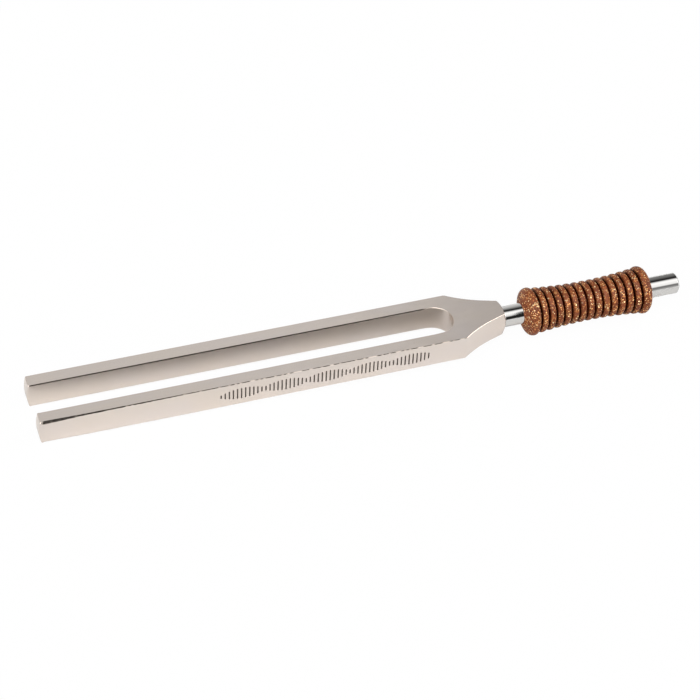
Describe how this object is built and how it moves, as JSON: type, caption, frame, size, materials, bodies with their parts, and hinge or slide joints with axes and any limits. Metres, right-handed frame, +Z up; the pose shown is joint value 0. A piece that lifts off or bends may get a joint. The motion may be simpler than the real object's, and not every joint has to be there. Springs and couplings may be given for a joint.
{
  "type": "tuning fork",
  "caption": "Two-pronged tuning fork: flat-sided prongs and yoke from one bar, a polished round stem, and a waisted ribbed grip that leaves the foot bare.",
  "frame": {"origin": "halfway along the fork, midway between the prongs, at the height of the surface that the grip flanges rest on", "axes": "+X runs from the prong tips to the foot of the stem, +Y across the prongs, +Z up, square to the flat faces of the fork"},
  "size_m": [0.1898, 0.019, 0.0138],
  "materials": {
    "satin_nickel": "satin nickel plate over a belt-ground bar",
    "polished_chrome": "mirror polished",
    "glitter_elastomer": "satin, filled with copper and gold glitter"
  },
  "bodies": {
    "root": {"fork_body": "satin_nickel", "stem": "polished_chrome", "grip": "glitter_elastomer"}
  },
  "joints": []
}
